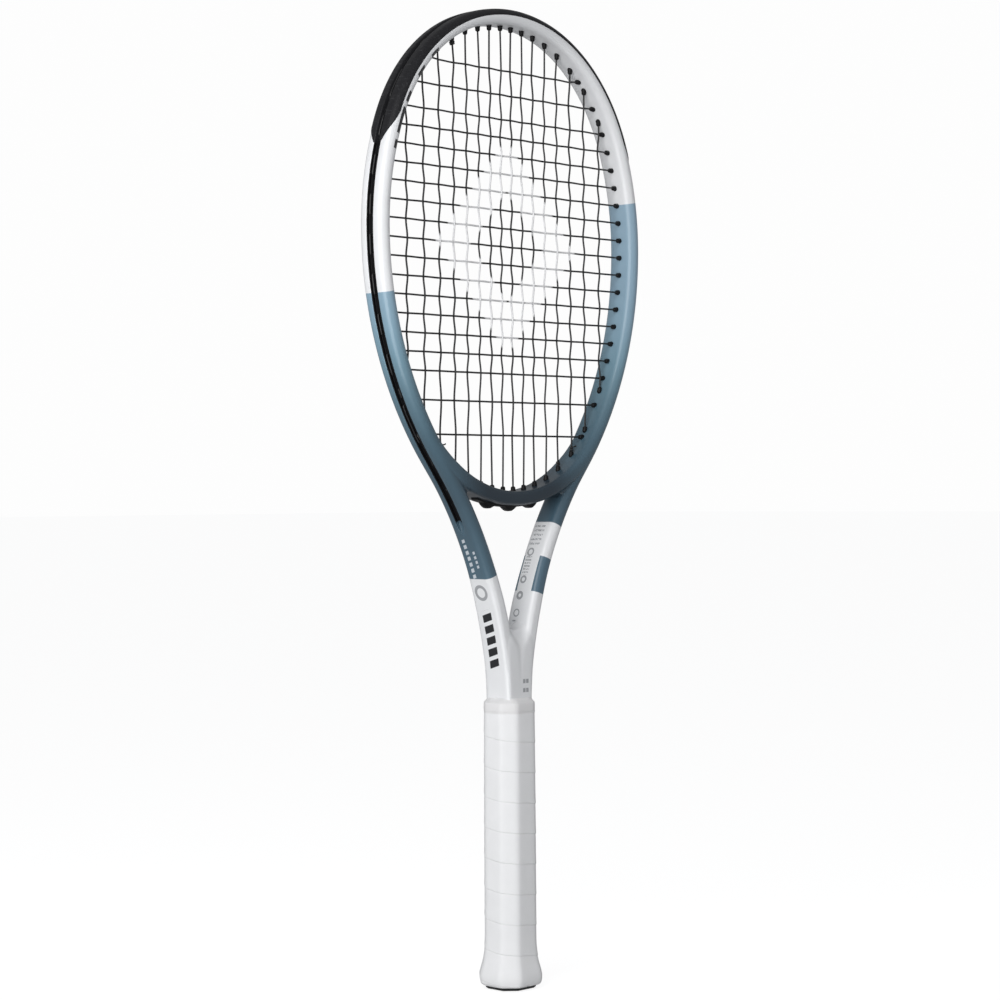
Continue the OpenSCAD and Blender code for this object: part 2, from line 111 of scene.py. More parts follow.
def sweep(rings, closed=True, ends=True):
    """Points and faces of a skin over equal rings of points."""
    rings = np.asarray(rings, float)
    n, m = rings.shape[:2]
    faces = []
    for i in range(n - 1):
        for j in range(m if closed else m - 1):
            k = (j + 1) % m
            faces.append((i * m + j, i * m + k, (i + 1) * m + k, (i + 1) * m + j))
    if ends:
        faces += [tuple(range(m - 1, -1, -1)), tuple(range((n - 1) * m, n * m))]
    return rings.reshape(-1, 3), faces


def piece(name, parts, material, nodes=(), body="racket", sharp=32, values=None):
    """One mesh object of (points, faces) parts. values gives numbers to store on its points."""
    points, faces, base = [], [], 0
    for p, f in parts:
        points.append(p)
        faces += [tuple(i + base for i in face) for face in f]
        base += len(p)
    mesh = bpy.data.meshes.new(name)
    mesh.from_pydata((np.concatenate(points) * MM).tolist(), [], faces)
    for key, numbers in (values or {}).items():
        mesh.attributes.new(key, "FLOAT", "POINT").data.foreach_set("value", np.asarray(numbers, np.float32))
    bm = bmesh.new()
    bm.from_mesh(mesh)
    bmesh.ops.remove_doubles(bm, verts=bm.verts, dist=4e-6)
    bmesh.ops.recalc_face_normals(bm, faces=bm.faces)
    bm.to_mesh(mesh)
    bm.free()
    mesh.shade_smooth()
    mesh.set_sharp_from_angle(angle=math.radians(sharp))
    obj = bpy.data.objects.new(name, mesh)
    bpy.context.scene.collection.objects.link(obj)
    mesh.materials.append(material)
    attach(obj, body)
    if nodes:
        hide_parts(*nodes)
    return obj


def tube(path, radius, sides=8):
    """A round tube along a path of points, with rings square to the path."""
    path = np.asarray(path, float)
    d = np.gradient(path, axis=0)
    d /= np.linalg.norm(d, axis=1)[:, None]
    radius = np.broadcast_to(radius, len(path))
    up = np.array([0.0, 1.0, 0.0]) if abs(d[0][1]) < 0.9 else np.array([1.0, 0.0, 0.0])
    rings = []
    turns = np.linspace(0, 2 * PI, sides, endpoint=False)
    for p, t, r in zip(path, d, radius):
        up = up - (up @ t) * t
        up /= np.linalg.norm(up)
        side = np.cross(t, up)
        rings.append(p + r * (np.cos(turns)[:, None] * up + np.sin(turns)[:, None] * side))
    return sweep(rings)


def rounded(points, cut, steps=4):
    """The path with each corner cut back and turned in a small curve."""
    out = [points[0]]
    for a, b, c in zip(points, points[1:], points[2:]):
        u, v = a - b, c - b
        lu, lv = np.linalg.norm(u), np.linalg.norm(v)
        if (u @ v) / (lu * lv) < -0.995:
            out.append(b)
            continue
        p, q = b + u / lu * min(cut, lu * 0.45), b + v / lv * min(cut, lv * 0.45)
        for t in np.linspace(0, 1, steps + 1):
            out.append((1 - t) ** 2 * p + 2 * t * (1 - t) * b + t * t * q)
    return np.array(out + [points[-1]])


# ---------- materials ----------


def shader(name, **values):
    m = bpy.data.materials.new(name)
    m.use_nodes = True
    bsdf = m.node_tree.nodes["Principled BSDF"]
    for key, value in values.items():
        bsdf.inputs[key.replace("_", " ")].default_value = value
    return m, bsdf


def add(m, kind, inputs=(), **props):
    """A new node. inputs are (socket, value or output) pairs; an output is linked."""
    n = m.node_tree.nodes.new("ShaderNode" + kind)
    for key, value in props.items():
        setattr(n, key, value)
    for key, value in inputs:
        if isinstance(value, bpy.types.NodeSocket):
            m.node_tree.links.new(value, n.inputs[key])
        else:
            n.inputs[key].default_value = value
    return n


def link(m, out, socket):
    m.node_tree.links.new(out, socket)


def calc(m, how, a, b=0.0, c=0.0):
    return add(m, "Math", [(0, a), (1, b), (2, c)], operation=how).outputs[0]


def within(m, x, low, high, soft=0.15):
    """1 where x lies between low and high, 0 outside, with a soft edge."""
    mid, half = (low + high) / 2, (high - low) / 2
    off = calc(m, "ABSOLUTE", calc(m, "SUBTRACT", x, mid))
    return add(m, "MapRange", [(0, off), (1, half - soft), (2, half + soft), (3, 1.0), (4, 0.0)]).outputs[0]


def both(m, *masks):
    out = masks[0]
    for k in masks[1:]:
        out = calc(m, "MULTIPLY", out, k)
    return out


def either(m, *masks):
    out = masks[0]
    for k in masks[1:]:
        out = calc(m, "MAXIMUM", out, k)
    return out


def mix(m, mask, a, b):
    return add(m, "Mix", [(0, mask), (6, a), (7, b)], data_type="RGBA").outputs[2]


def place(m):
    """Object coordinates in mm, as x, y, z."""
    v = add(m, "VectorMath", [(0, add(m, "TexCoord").outputs["Object"]), ("Scale", 1 / MM)], operation="SCALE")
    return v.outputs[0], add(m, "SeparateXYZ", [(0, v.outputs[0])]).outputs


def noise(m, at, scale, detail=3.0, rough=0.55):
    return add(m, "TexNoise", [("Vector", at), ("Scale", scale), ("Detail", detail), ("Roughness", rough)]).outputs[0]


def remap(m, x, a, b, c, d):
    return add(m, "MapRange", [(0, x), (1, a), (2, b), (3, c), (4, d)]).outputs[0]


def bump(m, bsdf, height, distance, strength=1.0):
    n = add(m, "Bump", [("Strength", strength), ("Distance", distance * MM), ("Height", height)])
    link(m, n.outputs[0], bsdf.inputs["Normal"])


def varied(m, bsdf, colour, at, scale, amount, rough, spread):
    """Slight colour and roughness variation over a plain colour or a colour output."""
    n = noise(m, at, scale, 4)
    value = remap(m, n, 0.3, 0.7, 1 - amount, 1 + amount)
    hsv = add(m, "HueSaturation", [("Color", colour), ("Value", value)])
    link(m, hsv.outputs[0], bsdf.inputs["Base Color"])
    link(m, remap(m, n, 0.3, 0.7, rough - spread, rough + spread), bsdf.inputs["Roughness"])
    return n


WHITE = (0.86, 0.87, 0.885, 1)
# Blue-grey of the frame by height, as it darkens towards the throat
TEAL = [(560, (0.31, 0.45, 0.56)), (500, (0.28, 0.42, 0.53)), (468, (0.25, 0.39, 0.49)),
        (440, (0.18, 0.31, 0.39)), (412, (0.115, 0.205, 0.262)), (385, (0.075, 0.14, 0.185)),
        (345, (0.058, 0.104, 0.14)), (315, (0.07, 0.128, 0.172)), (277, (0.09, 0.16, 0.215))]
HOOP_DARK = (0.019, 0.034, 0.05, 1)
# Heights of the ends of the left and right bands, of the patches, and of the black strokes on the left
LEFT_BAND, RIGHT_BAND, PATCH = (289.2, 481.8), (559.7, 323.8), (300.6, 276.2)
STROKES = ((577.4, 583.4), (588, 606), (610, 617.4), (628.7, 636), (643.5, 649.5))


def lacquer():
    """The frame's paint: white and blue-grey bands by distance along the tube, with plain marks."""
    m, bsdf = shader("frame_lacquer", Coat_Weight=0.35, Coat_Roughness=0.12, Specular_IOR_Level=0.45)
    at, (x, y, z) = place(m)
    run = add(m, "Attribute", attribute_name="run").outputs["Fac"]
    across = add(m, "Attribute", attribute_name="across").outputs["Fac"]
    hoop = add(m, "Attribute", attribute_name="hoop").outputs["Fac"]
    total = ENDS[6]
    stops = [(side * run_at(k[0]), k[1] + (1,)) for side in (-1, 1) for k in TEAL]
    ramp = add(m, "ValToRGB", [(0, remap(m, run, -total, total, 0, 1))])
    elements = ramp.color_ramp.elements
    for i, (s, colour) in enumerate(sorted(stops)):
        position = (s + total) / (2 * total)
        e = elements[i] if i < 2 else elements.new(position)
        e.position = position
        e.color = colour
    teal = either(m, within(m, run, -run_at(LEFT_BAND[0]), -run_at(LEFT_BAND[1]), 0.2),
                  within(m, run, run_at(RIGHT_BAND[0]), run_at(RIGHT_BAND[1]), 0.2))
    colour = mix(m, teal, WHITE, ramp.outputs[0])
    # Blue-grey patches on the front and rear faces of the right shaft
    faces = calc(m, "GREATER_THAN", calc(m, "ABSOLUTE", y), 7.0)
    patch = both(m, faces, within(m, run, run_at(PATCH[0]), run_at(PATCH[1]), 0.2))
    colour = mix(m, patch, colour, TEAL[-1][1] + (1,))
    colour = mix(m, hoop, colour, HOOP_DARK)
    # Left shaft, outer face: pale bars, a grey ring and slanted dark blocks in place of the marks
    outer = calc(m, "GREATER_THAN", across, 3.8)
    inner = calc(m, "LESS_THAN", across, -3.8)
    slant = calc(m, "MULTIPLY_ADD", y, 0.3, run)

    def dashes(along, first, last, pitch, fill):
        wave = calc(m, "FRACT", calc(m, "DIVIDE", calc(m, "SUBTRACT", along, first), pitch))
        return both(m, within(m, along, min(first, last), max(first, last)), calc(m, "LESS_THAN", wave, fill))

    def ring(s0, y0, r, w):
        a, b = calc(m, "SUBTRACT", run, s0), calc(m, "SUBTRACT", y, y0)
        d = calc(m, "SQRT", calc(m, "ADD", calc(m, "MULTIPLY", a, a), calc(m, "MULTIPLY", b, b)))
        return within(m, d, r - w / 2, r + w / 2, 0.1)

    pale = both(m, outer, either(
        m, both(m, dashes(slant, -run_at(290.5), -run_at(318), 4.6, 0.62), within(m, y, 1.2, 4.2, 0.1)),
        both(m, dashes(slant, -run_at(296), -run_at(308), 3.6, 0.6), within(m, y, -4.6, -2.4, 0.1))))
    colour = mix(m, calc(m, "MULTIPLY", pale, 0.75), colour, (0.75, 0.8, 0.85, 1))
    blocks = both(m, outer, dashes(slant, -run_at(226), -run_at(267), 8.4, 0.66), within(m, y, -4.4, 4.4, 0.1))
    colour = mix(m, blocks, colour, (0.012, 0.013, 0.016, 1))
    grey = both(m, outer, ring(-run_at(279.3), 0.6, 4.8, 2.3))
    fine = both(m, outer, dashes(run, -run_at(204.5), -run_at(214), 3.2, 0.34),
                calc(m, "GREATER_THAN", noise(m, at, 1.1, 1), 0.46), within(m, y, -6.5, 6.5, 0.1))
    # Right shaft, inner face: rows of fine dashes and small rings
    prints = both(m, inner, either(
        m, both(m, dashes(run, run_at(321.5), run_at(308), 3.4, 0.42), within(m, y, -3.5, 6.5, 0.1),
                calc(m, "GREATER_THAN", noise(m, at, 1.0, 1), 0.48)),
        ring(run_at(303), 3.0, 2.5, 1.2), ring(run_at(284), 3.0, 2.2, 1.4),
        ring(run_at(273), 3.0, 2.2, 1.8), ring(run_at(261), 3.0, 2.4, 0.9),
        both(m, dashes(run, run_at(300), run_at(287), 2.3, 0.45), within(m, y, 0.2, 5.8, 0.1),
             calc(m, "GREATER_THAN", noise(m, at, 1.3, 1), 0.46)),
        both(m, dashes(run, run_at(256), run_at(247), 2.9, 0.36), within(m, y, 0.5, 5.5, 0.1))))
    # Front of the right shaft, low down: four small blocks
    small = both(m, calc(m, "LESS_THAN", y, -11.0), within(m, x, 1.0, 12.0),
                 within(m, calc(m, "ABSOLUTE", calc(m, "SUBTRACT", z, 212)), 1.7, 4.6, 0.2),
                 within(m, calc(m, "ABSOLUTE", calc(m, "SUBTRACT", x, 4.6)), 0.3, 2.8, 0.2))
    colour = mix(m, calc(m, "MULTIPLY", either(m, grey, fine, prints, small), 0.72), colour, (0.2, 0.21, 0.23, 1))
    # Black strokes along the inner front edge of the left side of the head
    strokes = [within(m, run, -run_at(low), -run_at(high), 0.2) for low, high in STROKES]
    strokes = both(m, either(m, *strokes), within(m, across, -5.6, 0.0, 0.15), calc(m, "LESS_THAN", y, -5.0))
    colour = mix(m, strokes, colour, (0.014, 0.014, 0.016, 1))
    flake = noise(m, at, 3.2, 2, 0.7)
    colour = add(m, "HueSaturation", [("Color", colour), ("Value", remap(m, flake, 0.25, 0.75, 0.97, 1.03))])
    varied(m, bsdf, colour.outputs[0], at, 0.035, 0.02, 0.36, 0.05)
    bump(m, bsdf, noise(m, at, 0.9, 2), 0.05, 0.25)
    return m


def nylon(name, colour=(0.006, 0.006, 0.007, 1), worn=0.0):
    """Moulded black nylon, with fine scuffs where it is worn."""
    m, bsdf = shader(name, Specular_IOR_Level=0.22)
    at, _ = place(m)
    scuff = add(m, "VectorMath", [(0, at), (1, (1.0, 0.12, 1.0))], operation="MULTIPLY").outputs[0]
    lines = remap(m, noise(m, scuff, 0.9, 5, 0.7), 0.56, 0.74, 0, worn)
    n = varied(m, bsdf, mix(m, lines, colour, (0.075, 0.076, 0.08, 1)), at, 0.25, 0.14, 0.44, 0.08)
    bump(m, bsdf, calc(m, "ADD", noise(m, at, 2.6, 3), calc(m, "MULTIPLY", n, 0.5)), 0.06, 0.5)
    return m


# The stencilled mark on the strings: its middle's height, half its width and half its height
MARK_Z, MARK_WIDE, MARK_TALL = 520.0, 70.0, 76.0


def string_gut():
    """Black string with a slight gloss and a pale stencilled outline of a plain four-sided shape."""
    m, bsdf = shader("string_material", Coat_Weight=0.15, Coat_Roughness=0.2)
    at, (x, _, z) = place(m)
    wobble = calc(m, "MULTIPLY", calc(m, "SUBTRACT", noise(m, at, 0.35, 2), 0.5), 0.05)
    far = calc(m, "ADD", calc(m, "DIVIDE", calc(m, "ABSOLUTE", x), MARK_WIDE),
               calc(m, "DIVIDE", calc(m, "ABSOLUTE", calc(m, "SUBTRACT", z, MARK_Z)), MARK_TALL))
    mark = within(m, calc(m, "ADD", far, wobble), 0.52, 1.0, 0.012)
    colour = mix(m, calc(m, "MULTIPLY", mark, 0.96), (0.011, 0.011, 0.012, 1), (0.88, 0.88, 0.89, 1))
    varied(m, bsdf, colour, at, 0.8, 0.06, 0.36, 0.07)
    bump(m, bsdf, noise(m, at, 4.0, 2), 0.03, 0.4)
    return m


def leather(name, grain, rough, tint=(0.9, 0.905, 0.915, 1)):
    """White synthetic leather or rubber: pebbled grain, and painted shade low in the seams."""
    m, bsdf = shader(name, Specular_IOR_Level=0.35, Sheen_Weight=0.12, Sheen_Roughness=0.5)
    at, _ = place(m)
    seam = add(m, "Attribute", attribute_name="seam").outputs["Fac"]
    # Painted shade: the colour is greyed along the seams, where the overlapping turns would cast shade
    colour = mix(m, calc(m, "MULTIPLY", seam, 0.18), tint, (0.50, 0.49, 0.485, 1))
    varied(m, bsdf, colour, at, 0.06, 0.015, rough, 0.06)
    cells = add(m, "TexVoronoi", [("Vector", at), ("Scale", grain)], feature="SMOOTH_F1").outputs[0]
    height = calc(m, "ADD", calc(m, "MULTIPLY", cells, 0.6), calc(m, "MULTIPLY", noise(m, at, 0.5, 4), 0.5))
    bump(m, bsdf, height, 0.18, 0.35)
    return m


def plain(name, colour, rough, scale, depth, **values):
    """One colour with slight variation and a grain of the given scale and depth."""
    m, bsdf = shader(name, **values)
    at, _ = place(m)
    n = varied(m, bsdf, colour, at, scale, 0.1, rough, 0.08)
    bump(m, bsdf, n, depth, 0.5)
    return m


def brushed():
    """Steel wire, drawn along its length."""
    m, bsdf = shader("staple_steel", Metallic=1.0)
    at, _ = place(m)
    long = add(m, "VectorMath", [(0, at), (1, (6.0, 6.0, 0.5))], operation="MULTIPLY").outputs[0]
    n = varied(m, bsdf, (0.56, 0.56, 0.57, 1), long, 2.0, 0.1, 0.3, 0.08)
    bump(m, bsdf, n, 0.02, 0.4)
    return m


paint = lacquer()
black = nylon("grommet_nylon")
bumper_black = nylon("bumper_nylon", (0.014, 0.014, 0.016, 1), 0.8)
gut = string_gut()
grip_white = leather("grip_leather", 1.9, 0.58)
rubber_white = leather("collar_rubber", 3.0, 0.5, (0.84, 0.835, 0.84, 1))
cap_black = nylon("cap_plastic", (0.013, 0.013, 0.014, 1), 0.3)
foam = plain("pallet_foam", (0.55, 0.42, 0.24, 1), 0.85, 1.2, 0.4)
plug_grey = plain("plug_foam", (0.1, 0.1, 0.105, 1), 0.9, 1.6, 0.4)
tape_white = plain("tape_cloth", (0.78, 0.78, 0.77, 1), 0.75, 2.5, 0.15)
steel = brushed()

# ---------- the painted frame ----------

# The outer groove: half its width, its depth, and between which distances from the tip it closes
GROOVE_HALF, GROOVE_DEPTH = 3.2, 3.0
GROOVE_END, GROOVE_STOP = 438.5, 447.0
# Over the tip the outer face is raised and the inner one comes closer
TIP_RAISED, TIP_THINNED = 1.8, 3.1
# Where the round tube turns boxy, and where its front face steps back and comes out again
BOXY = run_at(350), run_at(228)
RECESS, RECESS_DEPTH = [run_at(z) for z in (376, 352, 300, 262)], 0.7


def boxy(s):
    """0 where the tube is round, 1 where it is boxy."""
    return ease(np.abs(s), *BOXY)


def front_at(s):
    """How far the tube's front face stands out; it steps back a little below the hoop."""
    s = np.abs(s)
    return HALF_D - RECESS_DEPTH * ease(s, RECESS[0], RECESS[1]) * (1 - ease(s, RECESS[2], RECESS[3]))


def faces_at(s):
    """How far the outer and inner faces lie from the centre-line. Over the tip the tube sits higher."""
    t = 1 - ease(abs(s), 30, 150)
    return HALF_W + TIP_RAISED * t, HALF_W - TIP_THINNED * t


def frame_section(s):
    """Half of the tube's section, as (outward, front) points from the outer middle to the inner one."""
    k = boxy(s)
    a, inner = faces_at(s)
    b, ro, ri = front_at(s), (a + inner) / 2 - 2.2 * k, (a + inner) / 2 - 1.6 * k
    t = min(max((abs(s) - GROOVE_END) / (GROOVE_STOP - GROOVE_END), 0), 1)
    open_ = math.sqrt(1 - t * t)
    d, g, lip = GROOVE_DEPTH * (1 - t * t) ** 0.8, GROOVE_HALF * open_, 0.55 * open_
    pts = [(a - d, 0), (a - d, g * 0.5), (a - d, g - 0.3 * open_), (a - d * 0.9, g)]
    for q in (-90, -60, -30, 0):
        q = math.radians(q)
        pts.append((a - lip + lip * math.cos(q), g + lip + lip * math.sin(q)))
    pts.append((a, (g + lip + b - ro) / 2))
    for q in np.radians(np.linspace(0, 90, 12)):
        pts.append((a - ro + ro * math.cos(q), b - ro + ro * math.sin(q)))
    for q in np.radians(np.linspace(90, 180, 12)):
        pts.append((-inner + ri + ri * math.cos(q), b - ri + ri * math.sin(q)))
    return np.array(pts + [(-inner, (b - ri) / 2), (-inner, 0)])


def on_tube(s, section):
    """The section's points, square to the centre-line s mm from the tip."""
    p, n = spine(s)
    return np.stack([p[0] + n[0] * section[:, 0], section[:, 1], p[1] + n[1] * section[:, 0]], 1)


def full(half):
    """A closed outline from its half; both ends of the half lie on the middle plane."""
    return np.concatenate([half, (half * [1, -1])[-2:0:-1]])


def mirrored(half):
    """A closed outline from its half, with the end points kept on both sides."""
    return np.concatenate([half, (half * [1, -1])[::-1]])


half_stations = np.concatenate([np.arange(0, GROOVE_END, 2.5), np.arange(GROOVE_END, GROOVE_STOP, 0.5),
                                np.arange(GROOVE_STOP, ENDS[6], 2.5), [ENDS[6]]])
stations = np.concatenate([-half_stations[::-1], half_stations[1:]])
shell_rings, shell_run, shell_across = [], [], []
for s in stations:
    section = full(frame_section(s))
    shell_rings.append(on_tube(s, section))
    shell_run.append(np.full(len(section), s))
    shell_across.append(section[:, 0])


def limb_place(x, z):
    """Distance outward from the right limb's centre-line, and distance along it from the tip."""
    to_top = (x - LEG_TOP[0]) * LEG_T[0] + (z - LEG_TOP[1]) * LEG_T[1]
    lower = np.hypot(x - C_LOWER[0], z - C_LOWER[1]) - LOWER_R
    lower_s = ENDS[2] - LOWER_R * np.arctan2(z - C_LOWER[1], x - C_LOWER[0])
    leg = (x - LEG_TOP[0]) * LEG_N[0] + (z - LEG_TOP[1]) * LEG_N[1]
    shaft = SHAFT_R - np.hypot(x - C_SHAFT[0], z - C_SHAFT[1])
    turned = np.arctan2(z - C_SHAFT[1], C_SHAFT[0] - x)
    shaft_s = ENDS[5] - SHAFT_R * turned
    out = np.where(to_top < 0, lower, np.where(to_top < LEG, leg, np.where(z > C_SHAFT[1], shaft, x - SHAFT_X)))
    run = np.where(to_top < 0, lower_s, np.where(to_top < LEG, ENDS[3] + to_top,
                   np.where(z > C_SHAFT[1], shaft_s, ENDS[5] + C_SHAFT[1] - z)))
    return out, run


def round_box(u, v, a, b, r):
    """Signed distance to a rectangle of half sides a and b with corners of radius r."""
    qu, qv = np.abs(u) - a + r, np.abs(v) - b + r
    return np.hypot(np.maximum(qu, 0), np.maximum(qv, 0)) + np.minimum(np.maximum(qu, qv), 0) - r


def soft_min(a, b, k):
    """The smaller of two distances, blended over k mm where they meet."""
    h = np.clip(0.5 + 0.5 * (b - a) / k, 0, 1)
    return b + (a - b) * h - k * h * (1 - h)


def limb_skin(x, y, z, t):
    """Signed distance to the right limb, drawn in by t."""
    out, run = limb_place(x, z)
    k = boxy(run)
    return round_box(out, y, HALF_W - t, front_at(run) - t, HALF_W - 1.9 * k - t)


# Angles from straight down where the bridge's proud front starts to sink and where the bridge ends in the leg
SINK_A, BRIDGE_END_A = math.radians(44), math.radians(56)
# Half width of the bridge's section, height of the web's top, and half width of the web
BRIDGE_HALF, WEB_TOP, WEB_HALF = 5.0, 251, 9.0
LIMB_INSET = 0.1


def throat_skin(x, y, z):
    """Signed distance to the throat: both limbs, the bridge and the web between the shafts, blended."""
    limbs = soft_min(limb_skin(x, y, z, LIMB_INSET), limb_skin(-x, y, z, LIMB_INSET), 1.5)
    away = np.hypot(x, z - C_BRIDGE[1])
    angle = np.arctan2(np.abs(x), C_BRIDGE[1] - z)
    proud = 0.4 * (1 - ease(angle, SINK_A, BRIDGE_END_A))
    corner = 3.4 + 1.6 * ease(angle, 0.6, 0.87)
    bridge = round_box(away - BRIDGE_R, y, BRIDGE_HALF, HALF_D - 0.1 + proud, corner)
    bridge = np.maximum(bridge, (angle - BRIDGE_END_A) * BRIDGE_R)
    # The blend is wide under the bridge, near the middle plane, and narrow where the front shows a crease
    outside = ease(limb_place(np.abs(x), z)[0], -3, 4)
    fillet = ease(away - BRIDGE_R, -1, 5) * (1 - outside) * (1 - ease(np.abs(y), 6.5, 10))
    k = (0.7 + 5.5 * fillet) * (1 - ease(angle, 0.8, 0.95)) + 0.02
    skin = soft_min(limbs, bridge, k)
    # The web's faces dip towards its top edge, which is lowest in the middle
    dip = 9 * np.clip((z - 238) / 18, 0, 1) ** 2
    web = np.maximum(round_box(x, y, WEB_HALF, HALF_D - 0.15 - dip, 2.5), z - WEB_TOP - 0.07 * x * x)
    skin = soft_min(skin, web, 5.0 * ease(-z, -262, -240) + 1.5)
    # Nothing stands further out than the proud part of the bridge
    return -soft_min(-skin, HALF_D + 0.34 - np.abs(y), 0.4)


def nets(f, low, high, h):
    """Quads over the surface f = 0 inside a box, with each point pulled onto the surface."""
    axes = [np.arange(a, b + h, h) for a, b in zip(low, high)]
    v = f(*np.meshgrid(*axes, indexing="ij"))
    inside = v < 0
    shape = tuple(n - 1 for n in v.shape)
    count = sum(inside[i:i + shape[0], j:j + shape[1], k:k + shape[2]].astype(int)
                for i in (0, 1) for j in (0, 1) for k in (0, 1))
    cells = np.argwhere((count > 0) & (count < 8))
    index = -np.ones(shape, int)
    index[tuple(cells.T)] = np.arange(len(cells))
    p = np.array(low) + (cells + 0.5) * h
    for _ in range(6):
        here, e = f(*p.T), 0.05
        g = np.stack([(f(*(p + d).T) - f(*(p - d).T)) / (2 * e) for d in np.eye(3) * e], 1)
        step = here / np.maximum((g * g).sum(1), 0.2)
        p = p - np.clip(step, -h / 2, h / 2)[:, None] * g
    faces = []
    for a in range(3):
        b, c = (a + 1) % 3, (a + 2) % 3
        ahead = [slice(None)] * 3
        ahead[a] = slice(1, None)
        behind = [slice(None)] * 3
        behind[a] = slice(None, -1)
        change = inside[tuple(behind)] != inside[tuple(ahead)]
        for q in np.argwhere(change):
            if q[b] == 0 or q[c] == 0 or q[b] >= shape[b] or q[c] >= shape[c]:
                continue
            around = []
            for db, dc in ((0, 0), (-1, 0), (-1, -1), (0, -1)):
                cell = q.copy()
                cell[b] += db
                cell[c] += dc
                around.append(index[tuple(cell)])
            faces.append(tuple(around if inside[tuple(q)] else around[::-1]))
    return p, faces


# The throat's mesh is kept only where it stands clear of the tube's own skin, below its top
THROAT_TOP, PLAIN_BELOW, HOOP_ABOVE = 386, 262, 325
throat_points, throat_faces = nets(throat_skin, (-96, -14.2, 200), (96, 14.2, 428), 1.4)
x, y, z = throat_points.T
own = np.minimum(limb_skin(x, y, z, LIMB_INSET), limb_skin(-x, y, z, LIMB_INSET))
spare = (own < 0.03) | (z > THROAT_TOP)
throat_faces = [f for f in throat_faces if not all(spare[list(f)]) and min(f) >= 0]
# Low down the throat takes the paint of the shaft's end, where there are no bands or marks
throat_out, throat_run = limb_place(np.abs(x), z)
throat_run = np.where(z < PLAIN_BELOW, 5 - ENDS[6], np.sign(x) * throat_run)
hoop_share = (1 - ease(np.abs(x), 30, 66)) * (z > HOOP_ABOVE)
shell = sweep(shell_rings)
shell_count = len(shell[0])
piece("painted_frame", [shell, (throat_points, throat_faces)], paint,
      ("hairpin_frame", "throat_bridge"), sharp=50, values={
          "run": np.concatenate([np.concatenate(shell_run), throat_run]),
          "across": np.concatenate([np.concatenate(shell_across), throat_out]),
          "hoop": np.concatenate([np.zeros(shell_count), hoop_share])})

# ---------- string holes, as in the CAD model ----------

MAINS, CROSSES, STRING_R = 16, 19, 0.65
# Gap between mains and how it widens to the sides; height of the top cross, then the gaps below it
MAIN_GAP, MAIN_SPREAD = 10.36, 0.125
CROSS_TOP, TOP_GAP, CROSS_GAP, LOW_GAPS = 643.6, 17.2, 12.75, (19.9, 23.4)
BRIDGE_IN, BRIDGE_OUT = BRIDGE_R - BRIDGE_HALF, BRIDGE_R + BRIDGE_HALF
# A low hole this near the middle is in the bridge, has its loop on a saddle, or has it inside the solid
IN_BRIDGE, ON_SADDLE, IN_SOLID = 70, 35, 50
# Where the loops lie, how far the strings weave, and how far to the front the mains' loops lie
SADDLE_R, MAIN_LEVEL, CROSS_LEVEL = BRIDGE_OUT + 0.6, HALF_W - 1.8, HALF_W - 0.45
WEAVE, BESIDE = STRING_R + 0.05, 1.4


def main_x(m):
    i = m - (MAINS - 1) / 2
    return math.copysign(MAIN_GAP * abs(i) + MAIN_SPREAD * abs(i) ** 2.5, i)


def cross_z(k):
    z = CROSS_TOP - min(k, 2) * TOP_GAP - max(min(k, CROSSES - 3) - 2, 0) * CROSS_GAP
    return z - (LOW_GAPS[0] if k > CROSSES - 3 else 0) - (LOW_GAPS[1] if k > CROSSES - 2 else 0)


def tip_faces(z_out):
    """The tube's faces where a hole's outward direction rises by z_out."""
    return faces_at(TIP_R * math.acos(min(z_out, 1)) if z_out > math.sin(TIP_A) else 200)


def on_arc(c, r, a, side):
    """A hole's point on the inner face and its outward direction."""
    side = math.copysign(1, side)
    d = np.array([side * math.cos(a), 0, math.sin(a)])
    return np.array([side * (c[0] + r * math.cos(a)), 0, c[1] + r * math.sin(a)]) \
        + d * (HALF_W - tip_faces(d[2])[1]), d


def top_hole(x):
    r = TIP_R - HALF_W
    return on_arc(C_TIP, r, math.acos(abs(x) / r), x)


def bottom_hole(x):
    r = LOWER_R - HALF_W
    if abs(x) < IN_BRIDGE:
        return on_arc(C_BRIDGE, BRIDGE_IN, -math.acos(abs(x) / BRIDGE_IN), x)
    return on_arc(C_LOWER, r, -math.acos((abs(x) - C_LOWER[0]) / r), x)


def cross_hole(z, side):
    r = TIP_R - HALF_W
    c, r = (C_TIP, r) if z > C_TIP[1] + r * math.sin(TIP_A) else \
        (C_SIDE, SIDE_R - HALF_W) if z > C_SIDE[1] else (C_LOWER, LOWER_R - HALF_W)
    return on_arc(c, r, math.asin((z - c[1]) / r), side)


def to_level(hole, level):
    """The point where the line of a hole reaches a level in the outer groove."""
    p, d = hole
    if not (abs(p[0]) < IN_BRIDGE and p[2] < C_BRIDGE[1]):
        return p + (sum(tip_faces(d[2])) + level - HALF_W) * d
    if abs(p[0]) < ON_SADDLE:
        return p + (SADDLE_R - BRIDGE_IN) * d
    if abs(p[0]) < IN_SOLID:
        return p + 7 * d
    for t in np.arange(5, 60, 0.1):
        q = p + t * d
        if limb_place(abs(q[0]), q[2])[0] >= level:
            break
    return q


def groove_loop(a, b, level, y, r):
    """The string from one hole to the next round the outside, bowed to the radius r there."""
    p, q = to_level(a, level), to_level(b, level)
    n = (a[1] + b[1]) / np.linalg.norm(a[1] + b[1])
    out = n * (((p - q) @ (p - q)) / (8 * r)) + np.array([0, y, 0])
    return [p, p * 0.8 + q * 0.2 + out, p * 0.2 + q * 0.8 + out, q]


